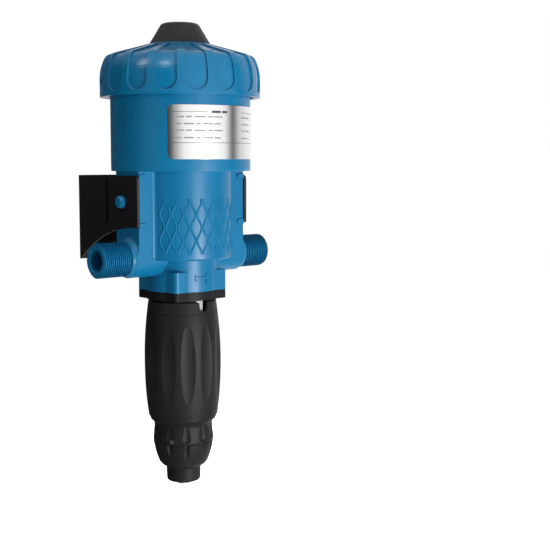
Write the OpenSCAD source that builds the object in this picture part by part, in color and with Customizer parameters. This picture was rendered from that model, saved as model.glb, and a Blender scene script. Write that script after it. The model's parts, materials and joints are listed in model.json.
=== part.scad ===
// Water-powered dosing pump for wall mounting.
// Z runs up the pump's axis from the mouth of the suction tail, X from inlet to outlet, and the wall is at +Y.

/* [Ports] */
// Distance between the two port faces
port_span = 161; // [154:1:166]
// Outside diameter of the port threads
port_d = 26.4; // [25:0.1:27.4]
// Bore of the ports
port_bore = 16.4; // [13:0.2:17.6]
// Length of plain neck between a wing and the thread
port_neck = 4.8; // [4:0.2:8]

/* [Upper cylinder] */
// Outside diameter of the cylinder
cyl_d = 109; // [107:0.5:112]
// Wall of the cylinder
cyl_wall = 4.5; // [3.5:0.1:5.5]
// Height of the cylinder from its underside to its rim
cyl_h = 80; // [80:1:90]
// Thickness of the cylinder's floor
floor_t = 4; // [3:0.2:5]

/* [Screw cap and button] */
// How far the cap stands out beyond the cylinder
cap_over = 7.8; // [7.4:0.1:8.6]
// Height of the cap
cap_h = 41.2; // [40.5:0.1:42]
// How far the cap's skirt hangs below the cylinder's rim
cap_skirt = 23.3; // [20:0.1:24]
// Number of finger recesses round the cap
cap_recesses = 17; // [12:1:18]
// Depth of each finger recess
cap_recess_depth = 1.4; // [1:0.1:2.2]
// Diameter of the bleed button at its foot
button_d = 47.6; // [44:0.2:50]
// Height of the bleed button above the cap
button_h = 16; // [14:0.2:20]
// Travel of the bleed button
button_travel = 3; // [2:0.5:3.5]

/* [Waist and base] */
// Diameter of the waist
waist_d = 79.2; // [78:0.2:82]
// Height of the waist
waist_h = 68; // [66:1:74]
// Wall of the waist
waist_wall = 3.6; // [3:0.1:4.4]
// Width over the two side wings
wing_span = 102.6; // [102:0.2:105]
// Front-to-back thickness of the wings
wing_t = 29.6; // [28.8:0.1:31]
// Height of the port axis above the underside of the waist
port_rise = 1.6; // [0:0.2:4]
// Diameter of the neck below the waist
neck_d = 57; // [55:0.5:58]
// Height of bare neck between waist and base
neck_h = 9.2; // [8:0.2:14]
// Side of the square base
base_side = 50.6; // [49:0.2:54]
// Height of the square base
base_h = 16; // [15:0.5:22]

/* [Dosing stem and sleeve] */
// Thickness of the stem's flange
stem_flange_h = 6.8; // [6:0.2:9]
// Height of the adjusting sleeve
sleeve_h = 92; // [90:1:110]
// Diameter of the sleeve at its belly
sleeve_belly_d = 60.8; // [59:0.1:63]
// Thickness of the sleeve at its belly
sleeve_wall = 5.9; // [5.5:0.1:6.5]
// How much the sleeve narrows from its belly to its ends, on the radius
belly_rise = 3.2; // [2.4:0.1:3.4]
// Number of grip flutes round the sleeve
sleeve_flutes = 12; // [8:1:14]
// Depth of those flutes at the belly
sleeve_flute_depth = 1.5; // [0.8:0.1:2.2]
// Gap between sleeve and stem flange in the top setting
sleeve_gap = 1.7; // [1.5:0.1:3]
// Travel of the dosage setting
dose_travel = 15; // [8:1:16]

/* [Suction end] */
// Height of the valve collar
collar_h = 21.5; // [20:0.5:28]
// Height of the hose nut with its nozzle
nut_h = 33; // [31:0.5:36]
// Diameter of the nozzle
nozzle_d = 27; // [24:0.5:29]
// Height of the nozzle
nozzle_h = 11.6; // [9:0.2:12.6]
// How far the hose tail stands out of the nozzle
tail_out = 2.9; // [0.5:0.1:4]
// Bore of the hose tail
tail_bore = 6; // [4:0.2:7]
// Outside diameter of the hose tail
tail_d = 11; // [10:0.2:12]
// Number of grip flutes round collar and nut
end_flutes = 11; // [8:1:14]

/* [Motor] */
// Width of the waterway between the waist's wall and the liner
water_way = 3; // [2.6:0.1:4]
// Stroke of the motor piston
stroke = 24; // [16:1:26]
// Travel of the valve gear in the piston
valve_lift = 5.7; // [4:0.1:6]
// Thickness of the piston's head
head_t = 12; // [10:0.5:14]
// Diameter of the plunger rod
rod_d = 9; // [7:0.5:10]
// Bore of the dosing cylinder
dose_bore = 22; // [18:0.5:24]

/* [Wall bracket] */
// Distance from the pump's axis to the wall
wall_y = 64; // [63.6:0.2:72]
// Sheet thickness of the bracket
plate_t = 2; // [1.6:0.1:3]
// Height of the bracket's arms
arm_h = 38.6; // [34:0.2:40]
// How far the arms reach in front of the pump's axis
arm_front = 16.3; // [15:0.1:20]
// Height of the wall plate
wall_plate_h = 66.8; // [60:0.2:70]
// Radius of the curved lower edge of the arms
arm_curve = 114; // [110:1:140]
// Diameter of the wall screw holes
screw_hole_d = 5.4; // [4:0.2:6.4]
// Width between the wall screws
screw_pitch_x = 84; // [60:1:90]
// Height between the wall screws
screw_pitch_z = 46; // [40:1:48]
// Diameter of the pins that carry the pump
pin_d = 9.8; // [8:0.2:11]

/* [Rating plate] */
// Width of the plate round the cylinder, in degrees
label_angle = 94; // [80:1:110]
// Height of the plate
label_h = 40; // [36:1:42]

/* [Fits] */
// Gap between pieces that move past each other
run = 0.3; // [0.2:0.05:0.35]
// Gap between a seal and the wall it rubs on
seal_gap = 0.05; // [0.02:0.01:0.1]

/* [Hidden] */
$fn = 96;

blue = [0.06, 0.41, 0.66];
black = [0.09, 0.09, 0.1];
steel = [0.75, 0.76, 0.78];
ivory = [0.9, 0.89, 0.84];
grey = [0.55, 0.57, 0.6];
rubber = [0.12, 0.12, 0.13];
eps = 0.01;
far = 200;

// Heights of the joints between pieces, from the suction end up
z_nut = tail_out;
z_collar = z_nut + nut_h;
z_sleeve = z_collar + collar_h;
z_stem = z_sleeve + sleeve_h + sleeve_gap;
z_base = z_stem + stem_flange_h;
z_neck = z_base + base_h;
z_waist = z_neck + neck_h;
z_port = z_waist + port_rise;
z_cyl = z_waist + waist_h;
z_floor = z_cyl + floor_t;
z_rim = z_cyl + cyl_h;
z_cap = z_rim - cap_skirt;
z_cap_top = z_cap + cap_h;

cyl_r = cyl_d / 2;
bore_r = cyl_r - cyl_wall;
cap_r = cyl_r + cap_over;
waist_r = waist_d / 2;
waist_bore_r = waist_r - waist_wall;
wing_x = wing_span / 2;
neck_r = neck_d / 2;
port_x = port_span / 2;
port_r = port_d / 2;
stem_r = sleeve_belly_d / 2 - sleeve_wall - run;
button_r = button_d / 2;

// Rim thread land, seen only when the cap is off
rim_r = cyl_r + 2;
rim_land_h = 18;
cap_bore_r = rim_r + run;

// Cap outline: side arc, shoulder fillet and cone
cap_side_r = 35;
cap_side_z = z_cap + 13.6;
cap_shoulder_r = 7;
cap_cone = 15.7;
recess_fill = 0.73;
recess_foot = 3.1;

// Head cover under the cap
cover_t = 5;
spigot_h = 8;
boss_r = 11;
boss_h = 9;
bleed_r = 3.7;
pocket_r = 9;
pocket_h = 5;
z_cover_top = z_rim + cover_t;

// Lower liner and the ledge it stands on
liner_wall = 2.8;
liner_r = waist_bore_r - water_way - liner_wall;
ledge_w = 2.5;
liner_flange_h = 4;
z_chamber = z_waist + floor_t;
z_ledge = z_chamber + 7.4;

// Motor piston
head_r = bore_r - 2 * run;
head_clear = 8.3;
z_head = z_floor + head_clear;
z_head_top = z_head + head_t;
skirt_r = liner_r - run;
skirt_wall = 2.9;
head_spigot = 3;
spider_t = 4;
z_skirt = z_ledge + 7;
ring_h = 4;
ring_depth = 3.5;
ports = 4;
// The outer ports fill the band between the skirt and the ring's groove
port_band = head_r - ring_depth - skirt_r;
outer_port_r = port_band / 2 - 2;
outer_port_at = skirt_r + port_band / 2;
inner_port_r = 4;
inner_port_at = 16;
push_r = 3;
disc_t = 2;
disc_lap = 1.5;
stem_pin_r = 2;

// Toggle arms that snap the valve gear over
toggle_x = 14.6;
toggle_reach = 10;
toggle_swing = asin(valve_lift / 2 / toggle_reach);
z_toggle = z_head - 11;
toggle_w = 3;
lug_t = 2;
toggle_pin_r = 1.25;

// Dosing parts
rod_r = rod_d / 2;
dose_r = dose_bore / 2;
dose_wall = 5.7;
dose_out_r = dose_r + dose_wall;
stem_bore_r = dose_out_r + run;
stem_tail = 70;
stem_step = 10;
spigot_r = 21.7;
spigot_up = 9.5;
z_stem_foot = z_stem - stem_tail;
z_stem_step = z_stem - stem_step;
z_dose_top = z_stem_step - 4;
z_plunger = z_sleeve + 16;
plunger_h = 8;
seal_d = 2.4;
seal_depth = seal_d - 0.2;
seal_slot = seal_d + 0.2;
lip_r = 19;
lip_h = 6;
flange_up = 4;
flange_r = lip_r - run;
valve_room_r = 8;
valve_room_h = 6;
z_dose_foot = z_sleeve - 10;
z_dose_floor = z_sleeve;
collar_spigot_h = 12.5;
collar_spigot_r = 17.4;
tail_flange_r = 16;
tail_flange_h = 3.4;
z_spigot_foot = z_collar - collar_spigot_h;
gasket_t = 0.8;
z_valve_seat = z_collar + 3.5;
valve_travel = 3;

function arc_points(cx, cy, r, a0, a1, n) =
    [for (i = [0 : n]) let (a = a0 + (a1 - a0) * i / n) [cx + r * cos(a), cy + r * sin(a)]];

module tube(outer, inner, z0, z1) {
    translate([0, 0, z0]) difference() {
        cylinder(r = outer, h = z1 - z0);
        translate([0, 0, -1]) cylinder(r = inner, h = z1 - z0 + 2);
    }
}

// A groove cut into the outside of a cylinder of radius outer
module groove(outer, depth, z0, h) {
    tube(outer + 2, outer - depth, z0, z0 + h);
}

// An O-ring whose outside touches radius outer less the rubbing gap
module o_ring(outer, z, d = seal_d) {
    color(rubber) rotate_extrude()
        translate([outer - seal_gap - d / 2, z]) circle(d = d, $fn = 32);
}

module rounded_plate(w, h, r) {
    square([w, h - 2 * r], center = true);
    square([w - 2 * r, h], center = true);
    for (x = [-1, 1], y = [-1, 1]) translate([x * (w / 2 - r), y * (h / 2 - r)]) circle(r = r, $fn = 48);
}

// What is taken off a square corner at the origin to round it
module corner_cut(r) {
    difference() {
        translate([-1, -1]) square(r + 1);
        translate([r, r]) circle(r = r, $fn = 48);
    }
}

module base_outline() {
    rounded_plate(base_side, base_side, base_corner);
    circle(r = neck_r);
}

module along_x(x0, x1, r, z) {
    translate([x0, 0, z]) rotate([0, 90, 0]) cylinder(r = r, h = x1 - x0);
}

module ring_of(n, at, first = 0) {
    for (i = [0 : n - 1]) rotate(first + i * 360 / n) translate([at, 0, 0]) children();
}

// Coil spring: one wire of round section, swept up a helix whose end turns lie close
module coil(r, wire, z0, z1, turns) {
    sides = 8;
    steps = turns * 12;
    end_pitch = 1.06 * wire;
    mid_pitch = (z1 - z0 - wire - 2 * end_pitch) / (turns - 2);
    function climb(n) = n < 1 ? n * end_pitch
        : n > turns - 1 ? z1 - z0 - wire - (turns - n) * end_pitch
        : end_pitch + (n - 1) * mid_pitch;
    points = [for (i = [0 : steps], j = [0 : sides - 1])
        let (n = turns * i / steps, b = 360 * j / sides, at = r + wire / 2 * cos(b))
        [at * cos(360 * n), at * sin(360 * n), z0 + wire / 2 + climb(n) + wire / 2 * sin(b)]];
    faces = concat(
        [[for (j = [0 : sides - 1]) j]],
        [for (i = [0 : steps - 1], j = [0 : sides - 1]) let (k = (j + 1) % sides)
            [i * sides + j, (i + 1) * sides + j, (i + 1) * sides + k, i * sides + k]],
        [[for (j = [sides - 1 : -1 : 0]) steps * sides + j]]);
    polyhedron(points, faces, convexity = 6);
}

// Body: cylinder, waist, wings, ports, neck and base in one moulding

// Outline of a wing seen along the port axis: flat sides and a round foot
module wing_outline() {
    circle(r = wing_t / 2);
    translate([-wing_t / 2, 0]) square([wing_t, z_cyl - z_port + 1]);
}

module sideways(x0, h) {
    translate([x0, 0, z_port]) rotate([90, 0, 90]) linear_extrude(h) children();
}

// Port neck with the hollow fillet that blends it into the end of the wing
module port_neck(side) {
    fillet = port_neck - 0.4;
    mirror([side < 0 ? 1 : 0, 0, 0]) {
        along_x(wing_x - eps, port_root, neck_port_r, z_port);
        intersection() {
            sideways(wing_x - eps, fillet) wing_outline();
            translate([wing_x, 0, z_port]) rotate([0, 90, 0]) rotate_extrude() difference() {
                square([neck_port_r + fillet, fillet]);
                translate([neck_port_r + fillet, fillet]) circle(r = fillet, $fn = 64);
            }
        }
    }
}

module carrying_pin(side) {
    pin_out = plate_t + 4;
    dome = 1.4;
    mirror([side < 0 ? 1 : 0, 0, 0]) {
        translate([0, pin_y, 0]) along_x(wing_x - 1, wing_x + pin_out - dome, pin_d / 2, z_pin);
        translate([wing_x + pin_out - dome, pin_y, z_pin]) rotate([0, 90, 0])
            cylinder(r1 = pin_d / 2, r2 = pin_d / 2 - dome, h = dome);
    }
}

// Half-round stops on the front of the wings, above and below the bracket's arms
module arm_stop(side, z) {
    stop_r = 1.9;
    stop_l = 4.8;
    proud = 1.1;
    mirror([side < 0 ? 1 : 0, 0, 0]) translate([wing_x - stop_l, -wing_t / 2 - proud, z])
        rotate([-90, 0, 0]) linear_extrude(proud + 1) {
            circle(r = stop_r, $fn = 32);
            translate([0, -stop_r]) square([stop_l, 2 * stop_r]);
        }
}

pin_y = 4;
port_root = wing_x + port_neck;
neck_port_r = port_r + 0.4;
nipple_in = 6.4;
nipple_in_r = port_bore / 2 + 2.6;
z_arm_top = z_cyl - 3.3;
z_arm_foot = z_arm_top - arm_h;
z_pin = z_arm_top - 19.8;
base_corner = 3;
screw_at = base_side / 2 - 4.4;
screw_r = 1.7;
screw_bite = 10;

module body_shape() {
    // cylinder, thread land, waist and neck in one turn
    lip = 2;
    edge = 1;
    rotate_extrude() polygon(concat(
        [[0, z_base], [neck_r, z_base], [neck_r, z_waist]],
        arc_points(waist_r - lip, z_waist + lip, lip, 270, 360, 6),
        [[waist_r, z_cyl]],
        arc_points(cyl_r - edge, z_cyl + edge, edge, 270, 360, 4),
        [[cyl_r, z_rim - rim_land_h], [rim_r, z_rim - rim_land_h + 1], [rim_r, z_rim - 1], [rim_r - 1, z_rim], [0, z_rim]]));
    sideways(-wing_x, 2 * wing_x) wing_outline();
    translate([0, 0, z_base]) linear_extrude(base_h) base_outline();
    for (side = [-1, 1]) {
        port_neck(side);
        carrying_pin(side);
        arm_stop(side, z_arm_top - 1);
        arm_stop(side, z_arm_foot + 1.1);
    }
}

// The inlet water rises in the left wing and enters round the liner
module inlet_duct() {
    duct_w = 14;
    duct_in = waist_r + 1.6;
    duct_out = wing_x - 2.4;
    window_z = z_ledge + 14;
    window_h = 22;
    along_x(-port_x - 1, -duct_in, port_bore / 2, z_port);
    translate([-duct_out, -duct_w / 2, z_port]) cube([duct_out - duct_in, duct_w, window_z + window_h - z_port]);
    translate([-duct_in - 1, -duct_w / 2, window_z]) cube([duct_in + 1 - waist_bore_r + 3, duct_w, window_h]);
}

module pump_body() {
    color(blue) difference() {
        body_shape();
        translate([0, 0, z_floor]) cylinder(r = bore_r, h = cyl_h);
        translate([0, 0, z_ledge]) cylinder(r = waist_bore_r, h = z_floor - z_ledge + 1);
        translate([0, 0, z_chamber]) cylinder(r = waist_bore_r - ledge_w, h = z_ledge - z_chamber + 1);
        translate([0, 0, z_base - 1]) cylinder(r = spigot_r + run, h = z_chamber - z_base + 2);
        along_x(spigot_r - 4, port_x, port_bore / 2, z_port);
        inlet_duct();
        for (side = [-1, 1]) mirror([side < 0 ? 1 : 0, 0, 0])
            along_x(port_root - nipple_in - 0.1, port_x, nipple_in_r + 0.05, z_port);
        for (x = [-1, 1], y = [-1, 1]) translate([x * screw_at, y * screw_at, z_base - 1])
            cylinder(r = screw_r, h = screw_bite + 3, $fn = 24);
    }
}

// Threaded pipe end, let into the neck of the port
module nipple(side) {
    chamfer = 0.8;
    color(blue) mirror([side < 0 ? 1 : 0, 0, 0]) difference() {
        union() {
            along_x(port_root, port_x - chamfer, port_r, z_port);
            translate([port_x - chamfer - eps, 0, z_port]) rotate([0, 90, 0])
                cylinder(r1 = port_r, r2 = port_r - chamfer, h = chamfer + eps);
            along_x(port_root - nipple_in, port_root + 1, nipple_in_r, z_port);
        }
        along_x(port_root - nipple_in - 1, port_x + 1, port_bore / 2, z_port);
    }
}

module inlet_nipple() { nipple(-1); }
module outlet_nipple() { nipple(1); }

module rating_plate() {
    thick = 0.6;
    corner = 3;
    color(steel) intersection() {
        tube(cyl_r + thick, cyl_r, z_cyl, z_rim - rim_land_h);
        translate([0, 0, z_cyl + 9.2 + label_h / 2]) rotate([90, 0, 0]) linear_extrude(2 * cyl_r)
            rounded_plate(2 * (cyl_r + thick) * sin(label_angle / 2), label_h, corner);
    }
}

// Wall bracket: wall plate and two arms with a curved lower edge

module arm_outline() {
    root = wall_y - plate_t;
    curve_from = 4 - arm_front;
    top_corner = 3.5;
    foot_corner = 1.5;
    difference() {
        union() {
            translate([-arm_front, z_arm_foot]) square([root + arm_front + eps, arm_h]);
            translate([curve_from, z_arm_top - wall_plate_h])
                square([root + eps - curve_from, wall_plate_h - arm_h + 1]);
        }
        translate([-arm_front, z_arm_foot]) corner_cut(foot_corner);
        translate([-arm_front, z_arm_top]) mirror([0, 1]) corner_cut(top_corner);
        translate([curve_from, z_arm_foot - arm_curve]) circle(r = arm_curve, $fn = 480);
    }
}

module wall_bracket() {
    arm_in = wing_x + run;
    slot_y = 23;
    slot_w = 3.2;
    slot_h = arm_h - 5;
    arm_mid = z_arm_top - arm_h / 2;
    plate_foot = z_arm_top - wall_plate_h;
    z_screws = plate_foot + wall_plate_h / 2;
    color(black) difference() {
        union() {
            for (side = [-1, 1]) translate([side < 0 ? -arm_in - plate_t : arm_in, 0, 0])
                rotate([90, 0, 90]) linear_extrude(plate_t) arm_outline();
            translate([-arm_in - plate_t, wall_y - plate_t, plate_foot])
                cube([2 * (arm_in + plate_t), plate_t, wall_plate_h]);
        }
        for (side = [-1, 1]) {
            translate([side * (arm_in + plate_t / 2), pin_y, z_pin]) rotate([0, 90, 0])
                cylinder(r = pin_d / 2 + run, h = plate_t + 2, center = true);
            translate([side * (arm_in + plate_t / 2), slot_y + slot_w / 2, arm_mid])
                cube([plate_t + 2, slot_w, slot_h], center = true);
        }
        for (x = [-1, 1], z = [-1, 1])
            translate([x * screw_pitch_x / 2, wall_y - plate_t - 1, z_screws + z * screw_pitch_z / 2])
                rotate([-90, 0, 0]) cylinder(d = screw_hole_d, h = plate_t + 2, $fn = 48);
    }
}

module lower_liner() {
    color(ivory) difference() {
        union() {
            tube(liner_r + liner_wall, liner_r, z_ledge, z_floor - 0.5);
            tube(waist_bore_r - run, liner_r, z_ledge, z_ledge + liner_flange_h);
        }
        groove(waist_bore_r - run, seal_depth, z_ledge + 0.7, seal_slot);
    }
}

module liner_seal() {
    o_ring(waist_bore_r, z_ledge + 0.8 + seal_d / 2);
}

// Dosing stem: flange bolted under the body, spigot above and threaded neck below

module dosing_stem() {
    keyway_x = 3.3;
    keyway_w = 3.4;
    guide_r = rod_r + 3.5;
    color(black) difference() {
        union() {
            translate([0, 0, z_stem]) linear_extrude(stem_flange_h) base_outline();
            translate([0, 0, z_base - eps]) cylinder(r = spigot_r, h = spigot_up);
            translate([0, 0, z_stem_foot]) cylinder(r = stem_r, h = stem_tail + eps);
        }
        translate([0, 0, z_stem_foot - 1]) cylinder(r = stem_bore_r, h = z_stem_step - z_stem_foot + 1);
        translate([0, 0, z_stem_foot]) cylinder(r = guide_r, h = far);
        groove(spigot_r, seal_depth, z_base + 5, seal_slot);
        for (x = [-1, 1], y = [-1, 1]) translate([x * screw_at, y * screw_at, z_stem - 1]) {
            cylinder(r = screw_r + 0.3, h = stem_flange_h + 3, $fn = 24);
            cylinder(r = screw_head_r + 0.2, h = 1 + screw_sunk + screw_head_h, $fn = 24);
        }
        // seat of the scale and the key slot beside it
        translate([scale_x - scale_w / 2 - 0.1, -stem_r - 1, z_stem - scale_h - 0.2])
            cube([scale_w + 0.2, 1 + scale_t, scale_h + 0.2]);
        translate([keyway_x - keyway_w / 2, -stem_r - 1, z_stem_foot - 1])
            cube([keyway_w, 3.2, stem_tail + 1]);
    }
}

screw_head_r = 3.2;
screw_head_h = 2.4;
// How far the screws' heads lie inside the flange
screw_sunk = 0.4;
scale_x = -1.5;
scale_w = 5.8;
scale_h = 17;
scale_t = 1.2;

module stem_seal() {
    o_ring(spigot_r + run, z_base + 5.1 + seal_d / 2);
}

module stem_screws() {
    shank = stem_flange_h + screw_bite;
    color(steel) for (x = [-1, 1], y = [-1, 1]) translate([x * screw_at, y * screw_at, z_stem + screw_sunk]) difference() {
        union() {
            cylinder(r = screw_head_r, h = screw_head_h, $fn = 24);
            cylinder(r = screw_r - 0.05, h = shank, $fn = 24);
        }
        for (a = [0, 90]) rotate(a) translate([-2, -0.4, -1]) cube([4, 0.8, 2.2]);
    }
}

// Scale strip with a pointed foot, let into the front of the stem
module dosage_scale() {
    color(ivory) intersection() {
        translate([scale_x, -stem_r + scale_t - 0.05, z_stem - 0.1]) rotate([90, 0, 0]) linear_extrude(scale_t)
            polygon([[-scale_w / 2, 0], [scale_w / 2, 0], [scale_w / 2, 4 - scale_h], [0, -scale_h], [-scale_w / 2, 4 - scale_h]]);
        translate([0, 0, z_stem_foot]) cylinder(r = stem_r, h = stem_tail);
    }
}

// Cap, cover and bleed button

function cone_z(r) = z_cap_top - (r - button_r) * tan(cap_cone);

// Centre of the shoulder fillet: inside the side arc and below the cone line
function shoulder_centre(inset) =
    let (rs = cap_shoulder_r - inset, ra = cap_side_r - inset, ax = cap_r - cap_side_r, az = cap_side_z,
        // line of centres under the cone
        oz = cone_z(0) - cap_shoulder_r / cos(cap_cone), k = -tan(cap_cone),
        d = ra - rs, a = 1 + k * k, b = 2 * (k * (oz - az) - ax), c = ax * ax + (oz - az) * (oz - az) - d * d,
        x = (-b + sqrt(b * b - 4 * a * c)) / (2 * a))
    [x, oz + k * x];

// Outline of the cap, moved in by inset for the floor of the finger recesses
module cap_outline(inset = 0) {
    c = shoulder_centre(inset);
    side_end = atan2(c[1] - cap_side_z, c[0] - (cap_r - cap_side_r));
    polygon(concat(
        [[0, z_cap], [cap_r - inset, z_cap]],
        arc_points(cap_r - cap_side_r, cap_side_z, cap_side_r - inset, 0, side_end, 6),
        arc_points(c[0], c[1], cap_shoulder_r - inset, side_end + 12, 90 - cap_cone, 5),
        [[button_r, cone_z(button_r) - inset / cos(cap_cone)], [0, cone_z(button_r) - inset / cos(cap_cone)]]));
}

module cap_hollow() {
    lid = cap_h - 5.2;
    polygon([
        [0, z_cap - 1], [cap_bore_r + 2, z_cap - 1], [cap_bore_r + 1, z_cap + 0.4], [cap_bore_r, z_cap + 1.4],
        [cap_bore_r, z_cover_top + 0.2], [cap_bore_r - 5, z_cover_top + 0.2],
        [button_r + 2, z_cap + lid], [button_r + run, z_cap + lid],
        [button_r + run, z_cap_top + 2], [0, z_cap_top + 2]
    ]);
}

// One finger recess: a wedge of the outer skin with a round foot
module cap_recess() {
    half = 180 / cap_recesses * recess_fill;
    foot_r = cap_r * sin(half);
    z_round = z_cap + recess_foot + foot_r;
    reach = cap_r + 10;
    translate([0, 0, z_round]) linear_extrude(cap_h)
        polygon([[button_r * 0.5, 0], [reach, -reach * tan(half)], [reach, reach * tan(half)]]);
    along_x(cap_r - 8, reach, foot_r, z_round);
}

module screw_cap() {
    color(blue) difference() {
        rotate_extrude() cap_outline();
        rotate_extrude() cap_hollow();
        difference() {
            intersection() {
                tube(cap_r + 6, button_r + 4.5, z_cap, z_cap_top + 4);
                ring_of(cap_recesses, 0, -95) cap_recess();
            }
            rotate_extrude() cap_outline(cap_recess_depth);
        }
    }
}

module head_cover() {
    ribs = 6;
    color(ivory) difference() {
        union() {
            translate([0, 0, z_rim]) cylinder(r = rim_r - run, h = cover_t);
            translate([0, 0, z_rim - spigot_h]) cylinder(r = bore_r - run, h = spigot_h + eps);
            translate([0, 0, z_rim]) cylinder(r = boss_r, h = boss_h);
            for (i = [0 : ribs - 1]) rotate(i * 360 / ribs)
                translate([boss_r - 1, -1.25, z_cover_top - eps]) cube([26, 2.5, 2.2]);
        }
        groove(bore_r - run, seal_depth, z_rim - 5, seal_slot);
        translate([0, 0, z_rim - spigot_h - 1]) cylinder(r = bleed_r + run, h = far);
        translate([0, 0, z_rim - spigot_h - 1]) cylinder(r = pocket_r, h = pocket_h + 1);
    }
}

module head_seal() {
    o_ring(bore_r, z_rim - 4.9 + seal_d / 2);
}

button_foot = 3.7;
button_shell = 2.6;
button_roof = 4.5;

module bleed_button() {
    top = z_cap_top + button_h;
    crown_r = button_r * 0.65;
    crown_round = 4.5;
    lean = 31;
    color(black) difference() {
        rotate_extrude() polygon(concat(
            [[0, z_cap_top - button_foot], [button_r, z_cap_top - button_foot], [button_r, z_cap_top]],
            arc_points(crown_r - crown_round * cos(lean), top - crown_round, crown_round, lean, 88, 6),
            [[0, top + 0.3]]));
        rotate_extrude() polygon([
            [bleed_r + 1.5, z_cap_top - button_foot - 1], [button_r - button_shell, z_cap_top - button_foot - 1],
            [button_r - button_shell, z_cap_top - 1], [crown_r - button_shell, top - button_roof],
            [bleed_r + 1.5, top - button_roof]
        ]);
        translate([0, 0, z_cap_top - button_foot - 1]) cylinder(r = bleed_r, h = button_foot + 6);
    }
}

z_bleed_foot = z_rim - spigot_h + pocket_h - run - disc_t;

module bleed_stem() {
    color(steel) {
        translate([0, 0, z_bleed_foot + 0.5]) cylinder(r = bleed_r - 0.05, h = z_cap_top + 5 - z_bleed_foot - 0.5, $fn = 48);
        translate([0, 0, z_bleed_foot - 1.2]) cylinder(r = bleed_r + 0.8, h = 1.8, $fn = 48);
    }
}

module bleed_seal() {
    color(rubber) tube(pocket_r - 1, bleed_r + 0.8 + 0.05, z_bleed_foot, z_bleed_foot + disc_t);
}

module bleed_spring() {
    color(steel) coil(bleed_r + 3.8, 1.1, z_rim + boss_h + 0.1, z_cap_top + button_h - button_roof - 0.1, 6);
}

// Motor piston

module piston_head() {
    color(ivory) {
        difference() {
            union() {
                translate([0, 0, z_head]) cylinder(r = head_r, h = head_t);
                translate([0, 0, z_head - head_spigot])
                    cylinder(r = skirt_r - skirt_wall - 0.1, h = head_spigot + eps);
            }
            groove(head_r, ring_depth, z_head + (head_t - ring_h) / 2, ring_h);
            translate([0, 0, z_head - 4]) {
                cylinder(r = push_r + run, h = head_t + 5, $fn = 48);
                ring_of(ports, outer_port_at) cylinder(r = outer_port_r, h = head_t + 5, $fn = 48);
                ring_of(ports, inner_port_at, 45) cylinder(r = inner_port_r, h = head_t + 5, $fn = 48);
            }
        }
        for (side = [-1, 1], y = [-1, 1]) toggle_lug(side * toggle_x, y * (toggle_w / 2 + run + lug_t / 2));
    }
}

// Ear that hangs from the head and carries a toggle pin
module toggle_lug(x, y) {
    lug_r = 3;
    difference() {
        translate([x, y, z_toggle]) {
            rotate([90, 0, 0]) cylinder(r = lug_r, h = lug_t, center = true, $fn = 48);
            translate([-lug_r, -lug_t / 2, 0]) cube([2 * lug_r, lug_t, z_head - head_spigot - z_toggle + eps]);
        }
        translate([x, y, z_toggle]) rotate([90, 0, 0])
            cylinder(r = toggle_pin_r + 0.02, h = lug_t + 2, center = true, $fn = 48);
    }
}

module toggle_pins() {
    pin_l = toggle_w + 2 * (run + lug_t) + 0.4;
    color(steel) for (side = [-1, 1]) translate([side * toggle_x, 0, z_toggle])
        rotate([90, 0, 0]) cylinder(r = toggle_pin_r, h = pin_l, center = true, $fn = 48);
}

module piston_skirt() {
    r = skirt_r;
    windows = 3;
    color(ivory) difference() {
        union() {
            tube(r, r - skirt_wall, z_skirt, z_head);
            translate([0, 0, z_skirt]) cylinder(r = r - 1, h = spider_t);
            translate([0, 0, z_skirt]) cylinder(r = rod_r + 4, h = spider_t + 5);
        }
        groove(r, seal_depth, z_skirt + 5, seal_slot);
        translate([0, 0, z_skirt - 1]) cylinder(r = rod_r + 0.05, h = spider_t + 4, $fn = 48);
        // flow windows between three spokes
        difference() {
            tube(r - skirt_wall - 1.5, rod_r + 5.5, z_skirt - 1, z_skirt + spider_t + 1);
            for (i = [0 : windows - 1]) rotate(i * 360 / windows)
                translate([0, -3, z_skirt - 2]) cube([r, 6, spider_t + 4]);
        }
    }
}

module piston_ring() {
    z0 = z_head + (head_t - ring_h) / 2 + 0.1;
    color(rubber) tube(bore_r - seal_gap, head_r - ring_depth + 0.1, z0, z0 + ring_h - 0.2);
}

module skirt_seal() {
    o_ring(liner_r, z_skirt + 5.1 + seal_d / 2);
}

module plunger_rod() {
    z_top = z_skirt + spider_t + 2.8;
    color(grey) {
        translate([0, 0, z_plunger + plunger_h - 0.5]) cylinder(r = rod_r, h = z_top - z_plunger - plunger_h + 0.5, $fn = 48);
        translate([0, 0, z_plunger + 0.5]) cylinder(r = rod_r - 1, h = plunger_h, $fn = 48);
        translate([0, 0, z_plunger - 1]) cylinder(r = rod_r + 1, h = 1.6, $fn = 48);
    }
}

module plunger_seal() {
    r = dose_r - seal_gap;
    color(rubber) rotate_extrude() polygon([
        [rod_r - 0.95, z_plunger + 0.65], [r - 2, z_plunger + 0.65], [r, z_plunger + 2.5],
        [r, z_plunger + 4], [r - 2.5, z_plunger + plunger_h - 0.6], [rod_r - 0.95, z_plunger + plunger_h - 0.6]
    ]);
}

// Valve gear: push rod, two spiders and their discs

push_end = 4;
spider_arm_t = 3;
spider_up = 6;
spider_down = 22;
z_spider_up = z_head_top + spider_up;
z_spider_low = z_head - spider_down;
z_disc_low = z_head - head_spigot - run - valve_lift - disc_t;
spool_gap = 2 * toggle_pin_r + 1.1;
z_spool = z_toggle - valve_lift / 2;

module push_rod() {
    color(steel) {
        translate([0, 0, z_spider_low - push_end])
            cylinder(r = push_r, h = z_spider_up + spider_arm_t + 2 * push_end - z_spider_low, $fn = 48);
        for (dz = [-spool_gap / 2 - 1.5, spool_gap / 2])
            translate([0, 0, z_spool + dz]) cylinder(r = push_r + 2.6, h = 1.5, $fn = 48);
    }
}

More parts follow.
